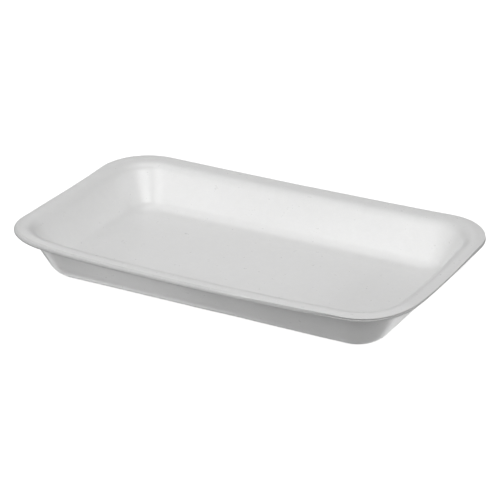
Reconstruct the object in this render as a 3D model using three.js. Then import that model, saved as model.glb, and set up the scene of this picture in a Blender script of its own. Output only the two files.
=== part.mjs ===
// A rectangular grocery tray of white polystyrene foam, empty: one thin thermoformed shell
// with a flat floor, four sloping walls, large rounded corners and a flat rim turned outwards.
//
// Millimetres, +Z up. The origin is the centre of the flat underside, X runs along the long
// sides and Y along the short ones. The shell is one closed solid. Its section is a line that
// starts under the floor, turns up the outside of the wall, goes round the edge of the rim and
// comes back down the inside to the floor. Each point of that line is carried round the tray
// on a rounded rectangle of its own.

import * as THREE from 'three';

// Overall size, seen from above and from the side
const LENGTH = 225; // across the rim, along X
const WIDTH = 133; // across the rim, along Y
const HEIGHT = 27.6; // from the underside to the top of the rim, before the rim's sag
const CORNER_RADIUS = 28; // of the rim's outer edge
const CORNER_TIGHTENING = 0.75; // how much smaller that radius gets for each millimetre inwards
const LONG_SIDE_BOW = 1.7; // how far each long side of the rim bulges between its corners
const SHORT_SIDE_BOW = 0.3; // the same on the short sides
const RIM_SAG = 1.9; // how far the rim dips between its corners

// The section of the shell
const WALL_SLOPE = THREE.MathUtils.degToRad(61); // from the horizontal
const WALL_THICKNESS = 3.2;
const FLOOR_THICKNESS = 3.3;
const EDGE_THICKNESS = 1.2; // of the rim at its cut outer edge
const RIM_ROOT_THICKNESS = 2.6; // of the rim where it meets the wall
const RIM_OVERHANG = 6.4; // from the rim's edge in to the outside of the wall
const EDGE_ROUNDING = 0.5;
const UNDER_RIM_ROUNDING = 2.5;
const RIM_BEND_ROUNDING = 6;
const FOOT_ROUNDING = 13; // outside, between the wall and the underside
const FLOOR_ROUNDING = 10; // inside, between the wall and the floor

// How finely the curves are divided
const CORNER_STEPS = 12;
const LONG_SIDE_STEPS = 10;
const SHORT_SIDE_STEPS = 6;
const ROUNDING_STEPS = 6;
const EDGE_STEPS = 3;

// The corners of the section before they are rounded. x is the inset from the rim's outer edge
// and y is the height. The first and the last only say which way the line starts and ends.
function sectionCorners() {
  const run = 1 / Math.tan(WALL_SLOPE); // how far the wall moves in for each millimetre down
  const wallAcross = WALL_THICKNESS / Math.sin(WALL_SLOPE); // the wall's thickness, cut level
  const rootHeight = HEIGHT - RIM_ROOT_THICKNESS;
  const outside = (height) => RIM_OVERHANG + (rootHeight - height) * run;
  const inside = (height) => outside(height) + wallAcross;
  const middle = WIDTH / 2;
  const corner = (inset, height, rounding = 0, steps = ROUNDING_STEPS) => ({
    at: new THREE.Vector2(inset, height),
    rounding,
    steps,
  });
  return [
    corner(middle, 0),
    corner(outside(0), 0, FOOT_ROUNDING),
    corner(RIM_OVERHANG, rootHeight, UNDER_RIM_ROUNDING),
    corner(0, HEIGHT - EDGE_THICKNESS, EDGE_ROUNDING, EDGE_STEPS),
    corner(0, HEIGHT, EDGE_ROUNDING, EDGE_STEPS),
    corner(inside(HEIGHT), HEIGHT, RIM_BEND_ROUNDING),
    corner(inside(FLOOR_THICKNESS), FLOOR_THICKNESS, FLOOR_ROUNDING),
    corner(middle, FLOOR_THICKNESS),
  ];
}

// The same line with an arc in place of each corner between the first and the last.
function roundedSection(corners) {
  const points = [];
  for (let i = 1; i < corners.length - 1; i++) {
    const { at, rounding, steps } = corners[i];
    const back = corners[i - 1].at.clone().sub(at).normalize();
    const onward = corners[i + 1].at.clone().sub(at).normalize();
    const halfAngle = back.angleTo(onward) / 2;
    const centre = back.clone().add(onward).setLength(rounding / Math.sin(halfAngle)).add(at);
    const start = back.clone().multiplyScalar(rounding / Math.tan(halfAngle)).add(at);
    const turn = Math.sign(onward.cross(back)) * (Math.PI - 2 * halfAngle);
    for (let k = 0; k <= steps; k++) {
      points.push(start.clone().rotateAround(centre, (turn * k) / steps));
    }
  }
  return points;
}

// A rounded rectangle in the plane, counterclockwise, with its straight sides divided too, so
// that they can bow and sag.
function roundedRectangle(halfX, halfY, radius) {
  const outline = [];
  for (let quarter = 0; quarter < 4; quarter++) {
    const from = (quarter * Math.PI) / 2;
    const to = from + Math.PI / 2;
    const signX = quarter === 0 || quarter === 3 ? 1 : -1;
    const signY = quarter < 2 ? 1 : -1;
    const centreX = signX * (halfX - radius);
    const centreY = signY * (halfY - radius);
    const arc = new THREE.EllipseCurve(centreX, centreY, radius, radius, from, to);
    const arcPoints = arc.getPoints(CORNER_STEPS);
    outline.push(...arcPoints);

    // The straight side that follows runs along X after an even quarter and along Y after an odd one
    const runsAlongX = quarter % 2 === 0;
    const sideStart = arcPoints[CORNER_STEPS];
    const sideEnd = sideStart.clone();
    if (runsAlongX) {
      sideEnd.x = -sideStart.x;
    } else {
      sideEnd.y = -sideStart.y;
    }
    const side = new THREE.LineCurve(sideStart, sideEnd);
    const sidePoints = side.getPoints(runsAlongX ? LONG_SIDE_STEPS : SHORT_SIDE_STEPS);
    outline.push(...sidePoints.slice(1, -1));
  }
  return outline;
}

// One point of the section carried round the tray. Above the floor, and most of all at the rim,
// the sides bow outwards between the corners and the shell dips there.
function ring({ x: inset, y: height }) {
  const halfX = LENGTH / 2 - inset;
  const halfY = WIDTH / 2 - inset;
  const radius = CORNER_RADIUS - CORNER_TIGHTENING * inset;
  const aboveFloor = Math.max(0, (height - FLOOR_THICKNESS) / (HEIGHT - FLOOR_THICKNESS));
  return roundedRectangle(halfX, halfY, radius).map((point) => {
    const alongSquared = (point.x / halfX) ** 2;
    const acrossSquared = (point.y / halfY) ** 2;
    return new THREE.Vector3(
      point.x * (1 - ((aboveFloor * SHORT_SIDE_BOW) / halfX) * acrossSquared),
      point.y * (1 - ((aboveFloor * LONG_SIDE_BOW) / halfY) * alongSquared),
      height - RIM_SAG * aboveFloor * (1 - alongSquared * acrossSquared),
    );
  });
}

// The closed skin: bands of triangles between the rings, a fan of them under the floor and one
// on top of it.
function shellGeometry(rings) {
  const around = rings[0].length;
  const lastRing = (rings.length - 1) * around;
  const underCentre = rings.length * around;
  const floorCentre = underCentre + 1;
  const points = rings.flat();
  points.push(new THREE.Vector3(0, 0, rings[0][0].z));
  points.push(new THREE.Vector3(0, 0, rings[rings.length - 1][0].z));

  const triangles = [];
  for (let j = 0; j < around; j++) {
    const next = (j + 1) % around;
    for (let band = 0; band < lastRing; band += around) {
      const above = band + around;
      triangles.push(band + j, band + next, above + next);
      triangles.push(band + j, above + next, above + j);
    }
    triangles.push(underCentre, next, j);
    triangles.push(floorCentre, lastRing + j, lastRing + next);
  }

  const geometry = new THREE.BufferGeometry().setFromPoints(points);
  geometry.setIndex(triangles);
  geometry.computeVertexNormals();
  return geometry;
}

const whiteFoam = new THREE.MeshStandardMaterial({
  name: 'white_foam',
  color: 0xf1f1f0,
  roughness: 0.6,
  metalness: 0,
});

const section = roundedSection(sectionCorners());
const tray = new THREE.Mesh(shellGeometry(section.map(ring)), whiteFoam);
tray.name = 'foam_tray';

const group = new THREE.Group();
group.add(tray);

export default group;
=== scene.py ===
"""An empty white foam tray, of the kind that fresh food is packed in."""

import math

import bpy
import numpy as np
from mathutils import Matrix, Vector


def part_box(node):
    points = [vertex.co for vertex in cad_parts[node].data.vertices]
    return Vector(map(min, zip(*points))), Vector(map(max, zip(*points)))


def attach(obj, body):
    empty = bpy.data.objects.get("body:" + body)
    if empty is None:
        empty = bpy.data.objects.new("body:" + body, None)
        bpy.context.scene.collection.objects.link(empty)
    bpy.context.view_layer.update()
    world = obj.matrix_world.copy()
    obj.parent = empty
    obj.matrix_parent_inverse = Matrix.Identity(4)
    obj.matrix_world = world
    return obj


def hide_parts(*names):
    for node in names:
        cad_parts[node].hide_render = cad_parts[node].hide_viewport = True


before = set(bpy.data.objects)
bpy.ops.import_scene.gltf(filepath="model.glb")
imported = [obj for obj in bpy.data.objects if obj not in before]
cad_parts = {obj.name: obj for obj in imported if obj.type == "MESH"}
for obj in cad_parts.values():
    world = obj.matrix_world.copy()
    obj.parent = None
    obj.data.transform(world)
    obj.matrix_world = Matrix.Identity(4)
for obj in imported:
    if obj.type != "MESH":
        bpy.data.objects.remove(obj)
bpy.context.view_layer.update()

# ---------------------------------------------------------------------------------------------
# The shell. The whole tray is one sheet of extruded polystyrene foam, softened by heat, drawn
# down into a mould and punched out along the edge of its rim. The sheet keeps its thickness on
# the floor and is pressed thinner at the rim, where the punch leaves a crease round the edge.
# ---------------------------------------------------------------------------------------------

MM = 0.001
low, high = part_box("foam_tray")
LENGTH = high.x - low.x
WIDTH = high.y - low.y
HEIGHT = 27.6 * MM  # from the underside to the top of the rim, before the rim's sag
CORNER_RADIUS = 28 * MM  # of the rim's outer edge
CORNER_TIGHTENING = 0.75  # how much smaller the radius gets for each millimetre inwards
LONG_SIDE_BOW = 1.7 * MM
SHORT_SIDE_BOW = 0.3 * MM
RIM_SAG = 1.9 * MM

WALL_SLOPE = math.radians(61)
WALL_THICKNESS = 3.2 * MM
FLOOR_THICKNESS = 3.3 * MM
RIM_ROOT_THICKNESS = 2.6 * MM
RIM_OVERHANG = 6.4 * MM

FOOT_ROUNDING = 13 * MM
UNDER_RIM_ROUNDING = 2.5 * MM
RIM_BEND_ROUNDING = 8 * MM
SOFT_BEND_ROUNDING = 9 * MM  # the same at the front left corner, where the sheet is pressed less
FLOOR_ROUNDING = 10 * MM

# The lip in millimetres, as rows of inset from the rim's edge, depth below the rim's top, rounding,
# steps round the corner and steps along the straight line after it. The punch has rolled the edge
# over at the front left corner and cut it square along most of the tray. Round the front right
# corner it has left the top skin as a thin edge, and under it a crease and then a bead, where the
# foam swells back to its thickness.
ROLLED_LIP = (
    (1.00, 2.95, 0.30, 4, 2),
    (0.40, 2.78, 0.25, 5, 2),
    (0.12, 2.45, 0.12, 4, 2),
    (0.05, 2.32, 0.05, 3, 1),
    (0.02, 2.20, 0.04, 3, 1),
    (0.00, 0.12, 1.90, 8, 3),
    (3.20, 0.00, 5.00, 5, 8),
)
SQUARE_LIP = (
    (1.10, 2.90, 0.40, 4, 2),
    (0.45, 2.55, 0.35, 5, 2),
    (0.22, 2.20, 0.15, 4, 2),
    (0.32, 2.05, 0.06, 3, 1),
    (0.00, 1.95, 0.06, 3, 1),
    (0.16, 0.06, 0.25, 8, 3),
    (2.20, 0.00, 5.00, 5, 8),
)
CREASED_LIP = (
    (1.80, 2.95, 0.40, 4, 2),
    (1.15, 2.70, 0.35, 5, 2),
    (0.50, 1.40, 0.22, 4, 2),
    (1.70, 0.85, 0.10, 3, 1),
    (0.14, 0.42, 0.07, 3, 1),
    (0.00, 0.06, 0.08, 8, 3),
    (1.60, 0.00, 4.00, 5, 8),
)
ROLL_ENDS_X = (10 * MM, 55 * MM)  # along the front, the lip goes from rolled to square between these
ROLL_ENDS_Y = (-45 * MM, -10 * MM)  # and here along the left side
SOFT_ENDS_X = (-100 * MM, -60 * MM)  # the softer bend at the front left corner ends here
SOFT_ENDS_Y = (-20 * MM, 30 * MM)
CREASE_STARTS_X = (60 * MM, 92 * MM)  # the lip goes from square to creased here
CREASE_ENDS_Y = (0 * MM, 40 * MM)  # and back to square here along the right side

# Where the rim has warped, in millimetres: the place, how far the warp reaches along X and Y, and
# how much it lifts the rim
WARPS = (
    (-100, -66, 22, 45, 1.5),
    (99, -64, 13, 13, -0.5),
    (113, -44, 13, 13, 0.7),
    (112, 34, 20, 20, 0.8),
)

# How finely the outline and the flat of the floor are divided
CORNER_STEPS = 46
LONG_SIDE_STEPS = 84
SHORT_SIDE_STEPS = 34
FLOOR_STEPS = 22


def section_corners(lip, rim_bend):
    """The shell's section before it is rounded, as rows of inset from the rim's edge, height,
    rounding, steps round the corner and steps along the straight line that follows it. The walls
    lean outwards by the wall's slope, and the lip's rows come between the two sides."""
    run = 1 / math.tan(WALL_SLOPE)
    across = WALL_THICKNESS / math.sin(WALL_SLOPE)
    root = HEIGHT - RIM_ROOT_THICKNESS

    def outside(height):
        return RIM_OVERHANG + (root - height) * run

    def inside(height):
        return outside(height) + across

    middle = WIDTH / 2
    edge = [
        (inset * MM, HEIGHT - depth * MM, rounding * MM, arc_steps, line_steps)
        for inset, depth, rounding, arc_steps, line_steps in lip
    ]
    return np.array([
        (middle, 0, 0, 0, 0),
        (outside(0), 0, FOOT_ROUNDING, 18, 14),
        (RIM_OVERHANG, root, UNDER_RIM_ROUNDING, 6, 5),
        *edge,
        (inside(HEIGHT), HEIGHT, rim_bend, 12, 18),
        (inside(FLOOR_THICKNESS), FLOOR_THICKNESS, FLOOR_ROUNDING, 16, 0),
        (middle, FLOOR_THICKNESS, 0, 0, 0),
    ])


def rounded_section(corners):
    """Each inner corner becomes an arc tangent to the lines before and after it: the arc's centre
    lies on the corner's bisector, at the rounding over the sine of half the corner's angle."""
    pieces = []
    for before, corner, after in zip(corners, corners[1:], corners[2:]):
        at, rounding, arc_steps, line_steps = corner[:2], corner[2], int(corner[3]), int(corner[4])
        back = (before[:2] - at) / np.linalg.norm(before[:2] - at)
        onward = (after[:2] - at) / np.linalg.norm(after[:2] - at)
        half = math.acos(back @ onward) / 2
        bisector = (back + onward) / np.linalg.norm(back + onward)
        centre = at + bisector * rounding / math.sin(half)
        start = at + back * rounding / math.tan(half) - centre
        sweep = math.copysign(math.pi - 2 * half, onward[0] * back[1] - onward[1] * back[0])
        turn = np.linspace(0, sweep, arc_steps + 1)[:, None]
        side = np.array([-start[1], start[0]])
        arc = centre + start * np.cos(turn) + side * np.sin(turn)
        if pieces:
            part = np.linspace(0, 1, steps_before + 1)[1:-1, None]
            pieces.append(pieces[-1][-1] + part * (arc[0] - pieces[-1][-1]))
        pieces.append(arc)
        steps_before = line_steps
    return np.concatenate(pieces)


def outline():
    """One lap of a rounded rectangle, as three numbers a point: how far the corner's centre is
    along X and along Y, from -1 to 1, and the direction in which the outline faces there."""
    quarter = np.linspace(0, math.pi / 2, CORNER_STEPS + 1)
    laps = []
    for k, (sign_x, sign_y) in enumerate(((1, 1), (-1, 1), (-1, -1), (1, -1))):
        facing = quarter + k * math.pi / 2
        laps.append(np.stack([np.full_like(facing, sign_x), np.full_like(facing, sign_y), facing]))
        steps = SHORT_SIDE_STEPS if k % 2 else LONG_SIDE_STEPS
        along = np.linspace(1, -1, steps + 1)[1:-1]
        across = np.ones_like(along)
        spread = (sign_x * across, sign_y * along) if k % 2 else (sign_x * along, sign_y * across)
        laps.append(np.stack([*spread, across * facing[-1]]))
    return np.concatenate(laps, axis=1)


def carried_round(inset, height, shrink, lap):
    """The section carried round the outline: at each inset the half sizes and the radius are
    smaller. Above the floor the sides bow outwards and sag between the corners by a square law,
    and each warp takes a bell curve of its own off the sag."""
    spread_x, spread_y, facing = lap
    half_x = LENGTH / 2 - inset
    half_y = WIDTH / 2 - inset
    radius = CORNER_RADIUS - CORNER_TIGHTENING * inset
    x = spread_x * (half_x - radius) + radius * np.cos(facing)
    y = spread_y * (half_y - radius) + radius * np.sin(facing)
    along = (x / half_x) ** 2
    across = (y / half_y) ** 2
    above_floor = np.clip((height - FLOOR_THICKNESS) / (HEIGHT - FLOOR_THICKNESS), 0, None)
    sag = RIM_SAG * (1 - along * across)
    for at_x, at_y, reach_x, reach_y, lift in WARPS:
        away = ((x / MM - at_x) / reach_x) ** 2 + ((y / MM - at_y) / reach_y) ** 2
        sag = sag - lift * MM * np.exp(-away)
    return np.stack([
        shrink * x * (1 - above_floor * SHORT_SIDE_BOW / half_x * across),
        shrink * y * (1 - above_floor * LONG_SIDE_BOW / half_y * along),
        height - sag * above_floor,
    ], axis=-1)


def smooth_step(value, start, end):
    """Goes from 0 at start to 1 at end along a cubic that is level at both."""
    part = np.clip((value - start) / (end - start), 0, 1)
    return part * part * (3 - 2 * part)


def ripples(points, wavelength, count, seed):
    """A gentle random relief between -1 and 1: the mean of sine waves of about one wavelength that
    run in random directions."""
    random = np.random.default_rng(seed)
    direction = random.normal(size=(3, count))
    direction /= np.linalg.norm(direction, axis=0)
    waves = 2 * math.pi * direction / (wavelength * random.uniform(0.7, 1.5, count))
    phase = random.uniform(0, 2 * math.pi, count)
    return np.sin(points @ waves + phase).mean(axis=-1) * math.sqrt(count / 4)


lap = outline()
soft = rounded_section(section_corners(ROLLED_LIP, SOFT_BEND_ROUNDING))[:, None]
rolled = rounded_section(section_corners(ROLLED_LIP, RIM_BEND_ROUNDING))[:, None]
square = rounded_section(section_corners(SQUARE_LIP, RIM_BEND_ROUNDING))[:, None]
creased = rounded_section(section_corners(CREASED_LIP, RIM_BEND_ROUNDING))[:, None]
edge_x = lap[0] * (LENGTH / 2 - CORNER_RADIUS) + CORNER_RADIUS * np.cos(lap[2])
edge_y = lap[1] * (WIDTH / 2 - CORNER_RADIUS) + CORNER_RADIUS * np.sin(lap[2])
roll = (1 - smooth_step(edge_x, *ROLL_ENDS_X)) * (1 - smooth_step(edge_y, *ROLL_ENDS_Y))
crease = smooth_step(edge_x, *CREASE_STARTS_X) * (1 - smooth_step(edge_y, *CREASE_ENDS_Y))
soften = (1 - smooth_step(edge_x, *SOFT_ENDS_X)) * (1 - smooth_step(edge_y, *SOFT_ENDS_Y))
section = (
    square
    + roll[:, None] * (rolled - square)
    + crease[:, None] * (creased - square)
    + soften[:, None] * (soft - rolled)
)

inwards = np.linspace(1, 0, FLOOR_STEPS + 1)[1:-1]
under = np.repeat(section[:1], FLOOR_STEPS - 1, axis=0)
inside_floor = np.repeat(section[-1:], FLOOR_STEPS - 1, axis=0)
section = np.concatenate([under, section, inside_floor])
shrink = np.concatenate([inwards[::-1], np.ones(len(square)), inwards])[:, None]
inset, height = section[..., 0], section[..., 1]
shell = carried_round(inset, height, shrink, lap)

# Slight unevenness of the drawn sheet, along the surface's own normal and straight up at the lip,
# whose corners are too tight to be pushed along theirs. The underside stays flat where it rests.
BROAD_RELIEF = 0.10 * MM
BROAD_WAVE = 38 * MM
FINE_RELIEF = 0.035 * MM
FINE_WAVE = 9 * MM
RESTING_HEIGHT = 1.5 * MM
LIP_ENDS = (1.5 * MM, 3.5 * MM)  # inset from the rim's edge
INNER_FROM = 0.55  # how far along the section its inner side has begun
lengthwise = np.gradient(shell, axis=0)
sideways = np.roll(shell, -1, axis=1) - np.roll(shell, 1, axis=1)
normal = np.cross(sideways, lengthwise)
normal /= np.linalg.norm(normal, axis=-1, keepdims=True)
inner = (np.arange(len(inset)) > len(inset) * INNER_FROM)[:, None]
resting = smooth_step(height, 0, RESTING_HEIGHT)
broad = BROAD_RELIEF * ripples(shell, BROAD_WAVE, count=24, seed=3)
fine = FINE_RELIEF * ripples(shell, FINE_WAVE, count=40, seed=5)
relief = broad + fine
at_lip = 1 - smooth_step(inset, *LIP_ENDS)
push = normal + at_lip[..., None] * (np.array([0, 0, 1]) - normal)
shell = shell + (relief * np.maximum(inner, resting))[..., None] * push

rows, around = shell.shape[:2]
poles = np.array([(0, 0, 0), (0, 0, FLOOR_THICKNESS)])
vertices = np.concatenate([shell.reshape(-1, 3), poles])
grid = np.arange(rows * around).reshape(rows, around)
turned = np.roll(grid, -1, axis=1)
quads = np.stack([grid[:-1], turned[:-1], turned[1:], grid[1:]], axis=-1).reshape(-1, 4)
under_fan = np.stack([turned[0], grid[0], np.full(around, rows * around)], axis=-1)
floor_fan = np.stack([grid[-1], turned[-1], np.full(around, rows * around + 1)], axis=-1)

mesh = bpy.data.meshes.new("tray_shell")
mesh.from_pydata(vertices.tolist(), [], quads.tolist() + under_fan.tolist() + floor_fan.tolist())
mesh.shade_smooth()

# How much the skin is broken along the punched edge: wholly where it is rolled over, half where it
# is cut off. The finish makes the broken edge rougher, and darkens its colour as painted shade for
# the shadow in its open cells.
ROLLED_TO = (1.1 * MM, 2.0 * MM)  # inset
CUT_TO = (1.2 * MM, 2.4 * MM)  # inset
CUT_FROM_DEPTH = (0.01 * MM, 0.2 * MM)
# The same amount drives the edge's roughness and its painted shade
cut = mesh.attributes.new("cut", "FLOAT", "POINT")
depth = HEIGHT - height
rolled_over = roll * (1 - smooth_step(inset, *ROLLED_TO))
cut_off = 0.5 * smooth_step(depth, *CUT_FROM_DEPTH)
cut_and_shade_amount = np.maximum(rolled_over, cut_off) * (1 - smooth_step(inset, *CUT_TO))
cut.data.foreach_set("value", np.concatenate([cut_and_shade_amount.ravel(), (0, 0)]))
tray = bpy.data.objects.new("tray_shell", mesh)
bpy.context.scene.collection.objects.link(tray)


class Socket:
    """The output of a node. A sum, difference or product of sockets and numbers is the output of
    the Math node that works it out."""

    def __init__(self, finish, output):
        self.finish = finish
        self.output = output

    def math(self, operation, first, second):
        return self.finish.node("ShaderNodeMath", {"operation": operation}, {0: first, 1: second})

    def __add__(self, other):
        return self.math("ADD", self, other)

    def __radd__(self, other):
        return self.math("ADD", other, self)

    def __sub__(self, other):
        return self.math("SUBTRACT", self, other)

    def __rsub__(self, other):
        return self.math("SUBTRACT", other, self)

    def __mul__(self, other):
        return self.math("MULTIPLY", self, other)

    def __rmul__(self, other):
        return self.math("MULTIPLY", other, self)


class Finish:
    """A material and its nodes."""

    def __init__(self, name):
        self.material = bpy.data.materials.new(name)
        self.material.use_nodes = True
        self.tree = self.material.node_tree
        self.shader = self.tree.nodes["Principled BSDF"]

    def feed(self, node, inputs):
        for key, value in inputs.items():
            if isinstance(value, Socket):
                self.tree.links.new(value.output, node.inputs[key])
            else:
                node.inputs[key].default_value = value

    def node(self, kind, settings, inputs, output=0):
        node = self.tree.nodes.new(kind)
        for key, value in settings.items():
            setattr(node, key, value)
        self.feed(node, inputs)
        return Socket(self, node.outputs[output])


# Sizes in the foam, in millimetres, and how bright its skin is
CELL = 0.55
WALLED_CELL = 0.75
FLAKE = 0.5
FLAKE_STRETCH = (0.4, 1.0, 1.0)  # the pattern's scale along the sheet's length
PIT_SPACING = 7
PITTED_PATCH = 11
MOTTLE = 4
CLOUD = 38
SKIN_SHADE = 0.945
WARMTH = 0.995  # blue against red and green
RELIEF_DEPTH = 0.06 * MM
RELIEF_STRENGTH = 0.35


def foam_finish():
    """White foam under a thin pearly skin. Fine closed cells show through the skin, and some are
    pressed into smoother flakes along the sheet's length, whose lighter colour is a painted pearly
    sheen. A few have burst into pits, painted darker as the shade inside them. How densely they lie
    varies in a mottle and in broad clouds, and the cut edge is bare cells, rougher than the skin and
    darkened as painted shade of its open cells."""
    foam = Finish("white_foam")
    place = foam.node("ShaderNodeTexCoord", {}, {}, "Object")
    cut_and_shade = foam.node("ShaderNodeAttribute", {"attribute_name": "cut"}, {}, "Fac")
    lengthwise = foam.node(
        "ShaderNodeVectorMath", {"operation": "MULTIPLY"}, {0: place, 1: FLAKE_STRETCH}, "Vector"
    )

    def voronoi(size, feature, output, vector=place):
        """Cells of about that size: the distance to the nearest centre or wall, or a cell's colour."""
        inputs = {"Vector": vector, "Scale": 1 / (size * MM)}
        return foam.node("ShaderNodeTexVoronoi", {"feature": feature}, inputs, output)

    def noise(size, detail):
        """Clouds of about that size, between 0 and 1."""
        inputs = {"Vector": place, "Scale": 1 / (size * MM), "Detail": detail}
        return foam.node("ShaderNodeTexNoise", {}, inputs, "Fac")

    def step(value, start, end):
        """Goes from 0 at start to 1 at end along a cubic that is level at both."""
        inputs = {"Value": value, "From Min": start, "From Max": end}
        return foam.node("ShaderNodeMapRange", {"interpolation_type": "SMOOTHSTEP"}, inputs)

    cells = voronoi(CELL, "SMOOTH_F1", "Distance")
    cell_walls = 1.0 - step(voronoi(WALLED_CELL, "DISTANCE_TO_EDGE", "Distance"), 0.0, 0.10)
    # Flattened cells, smoother than the rest; their lighter colour is a painted pearly sheen
    flakes_and_sheen = step(voronoi(FLAKE, "SMOOTH_F1", "Color", lengthwise), 0.45, 0.75)
    # Burst cells: pits, sunk in the bump and darkened in colour as painted shade inside them
    burst = 1.0 - step(voronoi(PIT_SPACING, "F1", "Distance"), 0.02, 0.05)
    pits_and_shade = burst * step(noise(PITTED_PATCH, 1.0), 0.45, 0.6)
    mottle = noise(MOTTLE, 3.0)
    clouds = noise(CLOUD, 1.0)
    shade = (
        (SKIN_SHADE - 0.04 * mottle - 0.025 * clouds - 0.02 * cells)
        # painted sheen: the flakes lighter
        + 0.012 * flakes_and_sheen
        - 0.015 * cell_walls
        # painted shade inside the pits
        - 0.10 * pits_and_shade
        # painted shade: the bare cut edge darker, and darker still in its open cells
        - 0.12 * cut_and_shade * cut_and_shade
        - 0.08 * cut_and_shade * cells
    )
    colour = foam.node("ShaderNodeCombineColor", {}, {0: shade, 1: shade, 2: shade * WARMTH})
    domes = cells * (1.0 + 2.0 * cut_and_shade) + 0.6 * mottle - 0.15 * cell_walls - 2.0 * pits_and_shade
    bump = foam.node(
        "ShaderNodeBump",
        {},
        {"Strength": RELIEF_STRENGTH, "Distance": RELIEF_DEPTH, "Height": domes},
        "Normal",
    )
    foam.feed(foam.shader, {
        "Base Color": colour,
        "Roughness": 0.26 + 0.08 * mottle - 0.015 * flakes_and_sheen + 0.6 * cut_and_shade,
        "Normal": bump,
        "IOR": 1.59,
        "Specular IOR Level": 1.0,
    })
    return foam.material


mesh.materials.append(foam_finish())
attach(tray, "root")
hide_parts("foam_tray")

# ---------------------------------------------------------------------------------------------
# The stage: a plain pale floor, soft lights and the camera.
# ---------------------------------------------------------------------------------------------

FLOOR_SIZE = 8.0
FLOOR_DROP = 0.3 * MM  # below the tray's underside, so that the two don't share a plane
floor_mesh = bpy.data.meshes.new("stage_floor")
corner = FLOOR_SIZE / 2
floor_mesh.from_pydata(
    [(-corner, -corner, 0), (corner, -corner, 0), (corner, corner, 0), (-corner, corner, 0)],
    [],
    [(0, 1, 2, 3)],
)
floor = bpy.data.objects.new("stage_floor", floor_mesh)
bpy.context.scene.collection.objects.link(floor)
floor.location.z = -FLOOR_DROP
floor.visible_diffuse = False
floor.visible_glossy = False
floor.visible_shadow = False
pale = Finish("stage_pale")
pale.feed(pale.shader, {
    "Base Color": (0.85, 0.85, 0.85, 1),
    "Roughness": 0.9,
    "Emission Color": (1, 1, 1, 1),
    "Emission Strength": 0.68,
})
floor_mesh.materials.append(pale.material)


def direction(azimuth, elevation):
    """The unit vector towards a point seen at an azimuth from -Y, turning to +X, and an elevation."""
    a, e = math.radians(azimuth), math.radians(elevation)
    return Vector((math.sin(a) * math.cos(e), -math.cos(a) * math.cos(e), math.sin(e)))


LIGHT_DISTANCE = 1.2


def softbox(name, azimuth, elevation, across, tall, brightness):
    """A rectangular area light that faces the tray from that direction. Its sizes are the angles
    that it fills as the tray sees it, and its brightness is in watts for each square metre."""
    light = bpy.data.lights.new(name, "AREA")
    light.shape = "RECTANGLE"
    light.size = 2 * LIGHT_DISTANCE * math.tan(math.radians(across) / 2)
    light.size_y = 2 * LIGHT_DISTANCE * math.tan(math.radians(tall) / 2)
    light.energy = brightness * light.size * light.size_y
    lamp = bpy.data.objects.new(name, light)
    bpy.context.scene.collection.objects.link(lamp)
    lamp.location = direction(azimuth, elevation) * LIGHT_DISTANCE
    lamp.rotation_euler = direction(azimuth, elevation).to_track_quat("Z", "Y").to_euler()


# Soft light from high on the left round to the right, seen from the camera. The low boxes and
# the constant world stand for what a white table and room throw back.
softbox("left_high", -50, 60, 50, 30, 3.5)
softbox("left_low", -53, 25, 74, 14, 5.4)
softbox("front", -12, 37, 32, 22, 7.2)
softbox("right", 44, 38, 36, 24, 9.0)
softbox("top", 0, 89.9, 30, 30, 4.7)
softbox("side", 90, 20, 24, 12, 16.3)
softbox("side_back", 125, 18, 24, 12, 7.1)
softbox("behind", 190, 28, 90, 40, 0.9)
softbox("behind_left", 210, 25, 20, 18, 1.15)
softbox("table_left", -105, -48, 30, 24, 4.7)
softbox("table_behind", 175, -45, 30, 20, 4.8)
softbox("table_under", 0, -89, 70, 70, 2.0)

world = bpy.data.worlds.new("studio")
world.use_nodes = True
world.node_tree.nodes["Background"].inputs["Color"].default_value = (1, 1, 1, 1)
world.node_tree.nodes["Background"].inputs["Strength"].default_value = 0.05
bpy.context.scene.world = world
bpy.context.scene.view_settings.view_transform = "Standard"

CAMERA_AZIMUTH = 29.42
CAMERA_ELEVATION = 24.88
CAMERA_ROLL = -0.85
CAMERA_DISTANCE = 1108.7 * MM
AIM_RIGHT = 0.67 * MM  # the view's centre, right of the origin and above it as the camera sees it
AIM_UP = 14.12 * MM
FOCAL_PIXELS = 2159.4  # on an image 500 pixels wide
IMAGE_PIXELS = 500

back = direction(CAMERA_AZIMUTH, CAMERA_ELEVATION)
azimuth = math.radians(CAMERA_AZIMUTH)
level_right = Vector((math.cos(azimuth), math.sin(azimuth), 0))
right = Matrix.Rotation(math.radians(CAMERA_ROLL), 3, back) @ level_right
up = back.cross(right)
camera_data = bpy.data.cameras.new("camera")
camera_data.lens = camera_data.sensor_width * FOCAL_PIXELS / IMAGE_PIXELS
camera = bpy.data.objects.new("camera", camera_data)
bpy.context.scene.collection.objects.link(camera)
turn = Matrix((right, up, back)).transposed()
place = back * CAMERA_DISTANCE + right * AIM_RIGHT + up * AIM_UP
camera.matrix_world = Matrix.Translation(place) @ turn.to_4x4()
bpy.context.scene.camera = camera
